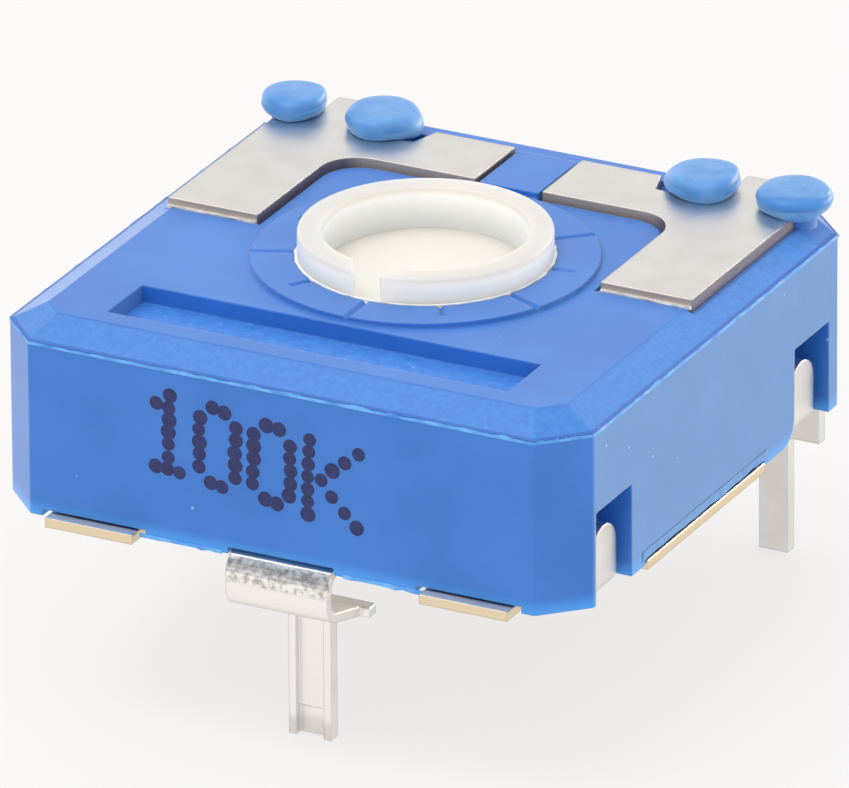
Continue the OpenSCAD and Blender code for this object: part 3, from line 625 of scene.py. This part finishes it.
def cut_up(start, along, cuts):
    """In edit mode, cuts the whole mesh across into equal lengths, from a start in plan and along a line."""
    for cut in range(1, cuts):
        at = start + along * cut / cuts
        bpy.ops.mesh.select_all(action="SELECT")
        bpy.ops.mesh.bisect(plane_co=(at.x * MM, at.y * MM, 0), plane_no=(along.x, along.y, 0))


def thicken(piece, thickness, offset):
    """Gives the active sheet a thickness, about its own surface (0) or on the side it faces (1)."""
    piece.modifiers.new("thick", "SOLIDIFY")
    piece.modifiers["thick"].thickness = thickness * MM
    piece.modifiers["thick"].offset = offset
    bpy.ops.object.modifier_apply(modifier="thick")


# Melted heads of the four stakes, left to right: sideways place, underside, width, thickness and the
# pulls that made each uneven, as direction in degrees, outward and upward move
STAKE_MELTS = (
    (-6.1, 6.14, 1.48, 0.45, ((50, 0.12, 0.02), (110, 0.02, -0.02), (200, 0.04, 0.0), (285, 0.1, -0.08))),
    (-3.9, 6.14, 1.74, 0.45, ((5, 0.1, -0.16), (100, 0.02, 0.0), (180, 0.03, -0.06), (270, 0.06, -0.06))),
    (3.9, 6.13, 1.66, 0.45, ((195, 0.16, -0.16), (45, 0.1, 0.04), (120, 0.02, -0.02), (300, 0.1, -0.08))),
    (6.1, 6.14, 1.68, 0.45, ((25, 0.06, -0.04), (95, 0.05, 0.0), (215, 0.08, -0.04), (300, 0.06, -0.12))),
)
MELT_SIDES = 11
MELT_DOME = 0.05
MELT_EDGE_SHARE = 0.26
MELT_RIM_SHARE = 0.4
MELT_LEVELS = 3
PULL_HALF_ANGLE = 20


def make_stake_melts(material):
    """Heads that a hot punch spread over the plates: domed rounds, pulled out of shape while soft."""
    for i, (x, low, width, thick, pulls) in enumerate(STAKE_MELTS):
        bpy.ops.object.select_all(action="DESELECT")
        bpy.ops.mesh.primitive_cylinder_add(
            vertices=MELT_SIDES, radius=width / 2 * MM, depth=thick * MM, end_fill_type="NGON",
        )
        piece = bpy.context.object
        bpy.ops.object.mode_set(mode="EDIT")
        for side in (-1, 1):
            pick_points(piece, lambda co: co.z * side > 0)
            bpy.ops.mesh.inset(thickness=width / 2 * MELT_EDGE_SHARE * MM)
            bpy.ops.transform.translate(value=(0, 0, MELT_DOME * MM if side > 0 else 0))
        for angle, outward, upward in pulls:
            towards = Vector((math.cos(math.radians(angle)), math.sin(math.radians(angle)), 0))
            pick_points(piece, lambda co: co.xy.length > width * MELT_RIM_SHARE * MM
                        and co.xy.angle(towards.xy) < math.radians(PULL_HALF_ANGLE))
            bpy.ops.transform.translate(value=(towards * outward + Vector((0, 0, upward))) * MM)
        bpy.ops.object.mode_set(mode="OBJECT")
        piece.modifiers.new("round", "SUBSURF")
        piece.modifiers["round"].levels = piece.modifiers["round"].render_levels = MELT_LEVELS
        bpy.ops.object.modifier_apply(modifier="round")
        bpy.ops.object.shade_smooth()
        piece.location = Vector((x, STAKE_Y, low + thick / 2)) * MM
        finish_piece("stake_melt_%d" % (i + 1), material, "base")


# Flash that the tool's two halves squeezed out along the front and side walls
FLASH_LOW = 5.465
FLASH_HIGH = 5.535
FLASH_RAGGED = 0.028
FLASH_THICKNESS = 0.026
FLASH_CUTS = 50
FLASH_SEED = 11

# How far before the back corners the flash ends
FLASH_SHY = 0.1


def make_parting_flash(material):
    """Ragged thread of flash along the tool's split line, in front of the bevel's foot."""
    bpy.ops.object.select_all(action="DESELECT")
    bpy.ops.mesh.primitive_plane_add(size=2 * MM, location=(0, 0, FLASH_LOW * MM))
    piece = bpy.context.object
    piece.scale = (WALL_SIDE, WALL_BACK, 1)
    bpy.ops.object.transform_apply(location=True, rotation=True, scale=True)
    bpy.ops.object.mode_set(mode="EDIT")
    for x in (-1, 1):
        for y in (-1, 1):
            bpy.ops.mesh.select_all(action="SELECT")
            bpy.ops.mesh.bisect(
                plane_co=(x * WALL_SIDE * MM, y * (WALL_BACK - CORNER_CUT) * MM, 0), plane_no=(x, y, 0),
                clear_outer=True,
            )

    # The edges of the outline stay, apart from those at the back
    bpy.ops.mesh.select_all(action="SELECT")
    bpy.ops.mesh.delete(type="ONLY_FACE")
    pick_points(piece, lambda co: co.y > (WALL_BACK - CORNER_CUT - FLASH_SHY) * MM)
    bpy.ops.mesh.select_mode(type="EDGE")
    bpy.ops.mesh.delete(type="EDGE")
    bpy.ops.mesh.select_all(action="SELECT")
    bpy.ops.mesh.subdivide(number_cuts=FLASH_CUTS)
    bpy.ops.mesh.select_all(action="SELECT")
    bpy.ops.mesh.extrude_edges_move(TRANSFORM_OT_translate={"value": (0, 0, (FLASH_HIGH - FLASH_LOW) * MM)})
    bpy.ops.transform.vertex_random(offset=FLASH_RAGGED * MM, seed=FLASH_SEED)
    bpy.ops.object.mode_set(mode="OBJECT")
    thicken(piece, FLASH_THICKNESS, 0)
    finish_piece("parting_flash", material, "base")


# Flash hanging from a wall's foot: the strip's two ends in plan, and the levels of its edges
FOOT_FLASH = (
    ((-3.4, WALL_FRONT), (-1.4, WALL_FRONT), 1.47, 1.56),
    ((1.5, WALL_FRONT), (3.4, WALL_FRONT), 1.47, 1.56),
    ((WALL_SIDE, SIDE_TAB[0]), (WALL_SIDE, SIDE_TAB[1]), 1.64, 1.84),
    ((-WALL_SIDE, SIDE_TAB[1]), (-WALL_SIDE, SIDE_TAB[0]), 1.64, 1.84),
)
FOOT_FLASH_EDGE = 0.01
FOOT_FLASH_CUTS = 24
FOOT_FLASH_SEED = 31


def make_foot_flash(thin, thick):
    """Ragged flash along the walls' foot: a strip is cut up, its lower edge shaken, and it is thickened."""
    for i, (start, end, low, high) in enumerate(FOOT_FLASH):
        start, end = Vector(start), Vector(end)
        along = end - start
        middle = (start + end) / 2
        bpy.ops.object.select_all(action="DESELECT")
        bpy.ops.mesh.primitive_plane_add(
            size=MM, rotation=(math.pi / 2, 0, math.atan2(along.y, along.x)),
            location=Vector((middle.x, middle.y, (low + high) / 2)) * MM,
        )
        piece = bpy.context.object
        piece.scale = (along.length, high - low, 1)
        bpy.ops.object.transform_apply(location=True, rotation=True, scale=True)
        bpy.ops.object.mode_set(mode="EDIT")
        cut_up(start, along, FOOT_FLASH_CUTS)
        pick_points(piece, lambda co: co.z < (low + FOOT_FLASH_EDGE) * MM)
        bpy.ops.transform.vertex_random(offset=FLASH_RAGGED * MM, seed=i + FOOT_FLASH_SEED)
        bpy.ops.object.mode_set(mode="OBJECT")
        thicken(piece, FLASH_THICKNESS, 0)
        finish_piece("foot_flash_%d" % (i + 1), thick if along.y else thin, "base")


# Burr that the shears left along the front end of each plate's arm
BURR_X = (-5.24, 5.24)
BURR_Y = 0.085
BURR_Z = 5.955
BURR_SIZE = (2.16, 0.09, 0.05)
BURR_RAGGED = 0.018
BURR_CUTS = 24
BURR_SEED = 5


def make_arm_burrs(material):
    """Bright sheared burr at the lower front edge of each arm: a thin bar, cut up and shaken."""
    for i, x in enumerate(BURR_X):
        bpy.ops.object.select_all(action="DESELECT")
        bpy.ops.mesh.primitive_cube_add(size=MM, location=Vector((x, BURR_Y, BURR_Z)) * MM)
        piece = bpy.context.object
        piece.scale = BURR_SIZE
        bpy.ops.object.transform_apply(location=True, rotation=True, scale=True)
        bpy.ops.object.mode_set(mode="EDIT")
        cut_up(Vector((x - BURR_SIZE[0] / 2, 0)), Vector((BURR_SIZE[0], 0)), BURR_CUTS)
        pick_points(piece, lambda co: co.y < BURR_Y * MM)
        bpy.ops.transform.vertex_random(offset=BURR_RAGGED * MM, seed=i + BURR_SEED)
        bpy.ops.object.mode_set(mode="OBJECT")
        finish_piece("arm_burr_%d" % (i + 1), material, "base")


# Flash at the rotor's foot, just above the dial
SKIRT_INNER = 2.76
SKIRT_OUTER = 2.83
SKIRT_LOW = 6.065
SKIRT_THICKNESS = 0.03
SKIRT_RAGGED = 0.05
SKIRT_SIDES = 120
SKIRT_SEED = 21


def make_rotor_flash(material):
    """Ragged skirt of flash where the rotor leaves the dial's hole: a ring whose outer edge is shaken."""
    bpy.ops.object.select_all(action="DESELECT")
    bpy.ops.mesh.primitive_circle_add(
        vertices=SKIRT_SIDES, radius=SKIRT_INNER * MM, fill_type="NOTHING", location=(0, 0, SKIRT_LOW * MM),
    )
    bpy.ops.object.transform_apply(location=True, rotation=True, scale=True)
    piece = bpy.context.object
    bpy.ops.object.mode_set(mode="EDIT")
    bpy.ops.mesh.select_all(action="SELECT")
    bpy.ops.mesh.extrude_edges_move()
    bpy.ops.transform.resize(value=(SKIRT_OUTER / SKIRT_INNER,) * 2 + (1,), center_override=(0, 0, 0))
    bpy.ops.transform.vertex_random(offset=SKIRT_RAGGED * MM, seed=SKIRT_SEED)
    bpy.ops.transform.resize(value=(1, 1, 0), center_override=(0, 0, SKIRT_LOW * MM))
    bpy.ops.object.mode_set(mode="OBJECT")
    thicken(piece, SKIRT_THICKNESS, 1)
    finish_piece("rotor_flash", material, "turner")


# Dot-matrix value on the front wall: a plain 100 k in the printer's seven rows, sheared by the moving belt
MARK = "100K"
MARK_LEFT = -3.27
MARK_FOOT = 3.26
MARK_DROP_SHARE = 0.112
MARK_SLANT_SHARE = 0.03
CELL_ADVANCE = 1.31
CELLS = {
    "0": (".##.", "#..#", "#..#", "#..#", "#..#", "#..#", ".##."),
    "1": ("..#.", ".##.", "..#.", "..#.", "..#.", "..#.", ".###"),
    "K": ("#...#", "#..#.", "#.#..", "##...", "#.#..", "#..#.", "#...#"),
}

# One dot of ink, and how far dots stray in place and size
DOT_PITCH = 0.29
DOT_RADIUS = 0.163
DOT_SIDES = 16
DOT_JITTER = 0.02
DOT_SCALES = (0.94, 1.12)
DOT_SEED = 7
INK_THICKNESS = 0.004
DOME_RIM_SHARE = 0.2
DOME_RISE_SHARE = 0.25


def make_print(ink):
    """Ink-jet value on the front wall: one domed dot is modelled and then copied."""
    bpy.ops.object.select_all(action="DESELECT")
    bpy.ops.mesh.primitive_circle_add(
        vertices=DOT_SIDES, radius=DOT_RADIUS * MM, fill_type="NGON", rotation=(math.pi / 2, 0, 0),
    )
    bpy.ops.object.mode_set(mode="EDIT")
    bpy.ops.mesh.select_all(action="SELECT")
    bpy.ops.mesh.extrude_region_move(TRANSFORM_OT_translate={"value": (0, -INK_THICKNESS * MM, 0)})
    bpy.ops.mesh.inset(thickness=DOT_RADIUS * DOME_RIM_SHARE * MM)
    bpy.ops.transform.translate(value=(0, -INK_THICKNESS * DOME_RISE_SHARE * MM, 0))
    bpy.ops.object.mode_set(mode="OBJECT")
    bpy.ops.object.transform_apply(location=True, rotation=True, scale=True)
    first = bpy.context.object
    shake = random.Random(DOT_SEED)
    dots = []
    for n, letter in enumerate(MARK):
        for row, line in enumerate(reversed(CELLS[letter])):
            for column, cell in enumerate(line):
                if cell == "#":
                    along, up = n * CELL_ADVANCE + column * DOT_PITCH, row * DOT_PITCH
                    x = MARK_LEFT + along + up * MARK_SLANT_SHARE + shake.uniform(-DOT_JITTER, DOT_JITTER)
                    z = MARK_FOOT + up - along * MARK_DROP_SHARE + shake.uniform(-DOT_JITTER, DOT_JITTER)
                    place = Vector((x, WALL_FRONT, z)) * MM
                    dots.append(copy_piece(first, place, shake.uniform(*DOT_SCALES)))
    bpy.data.objects.remove(first)
    join_pieces(dots)
    finish_piece("value_print", ink, "base")


bpy.context.scene.view_settings.view_transform = "Standard"
make_camera()
make_table()
make_room()
make_softboxes()

BLUE = blue_moulded_plastic()
dress(["housing"], BLUE)
dress(["rotor"], white_moulded_plastic())
dress(["left_end_terminal", "right_end_terminal", "collector_plate"], tinned_sheet())
# Paper board: brown and faintly clouded
dress(["element_board"],
      clouded("paper_phenolic_laminate", ("#7a4c28", "#95663c"), LAMINATE_CLOUD, Roughness=0.5))
# Screened carbon: dull black with a fine grain
dress(["carbon_track"], clouded("printed_carbon_film", ("#1d1b19", "#2c2926"), CARBON_GRAIN, Roughness=0.6))
# Screened silver: pale, grainy metal
dress(["left_end_pad", "right_end_pad"],
      clouded("printed_silver_film", ("#b5b3ae", "#d2d0cb"), SILVER_GRAIN, Roughness=0.4, Metallic=1.0))
# Rolled bronze: warm metal with a soft shine
dress(["wiper_spring"],
      clouded("rolled_spring_bronze", ("#b88d4a", "#cfa765"), BRONZE_CLOUD, Roughness=0.3, Metallic=1.0))

make_stake_melts(melted_blue_plastic())
# The blue flash's pale tones are painted highlight and glow
FLASH = thin_flash("blue_flash_pbt", ("#3c86dc", "#74bcf4"))
make_parting_flash(FLASH)
make_foot_flash(FLASH, BLUE)
# Tin torn by the shears: bright and half dull
make_arm_burrs(
    clouded("bright_torn_tin", ("#e6e3de", "#fbfaf7"), TORN_TIN_CLOUD, Roughness=0.4, Metallic=0.4))
make_rotor_flash(thin_flash("white_flash_acetal", ("#e6e6e4", "#f6f5f2")))
# Marking ink: dark violet blue, uneven in depth
make_print(clouded("dark_marking_ink", ("#151b52", "#1f2a68"), INK_CLOUD, Roughness=0.5))
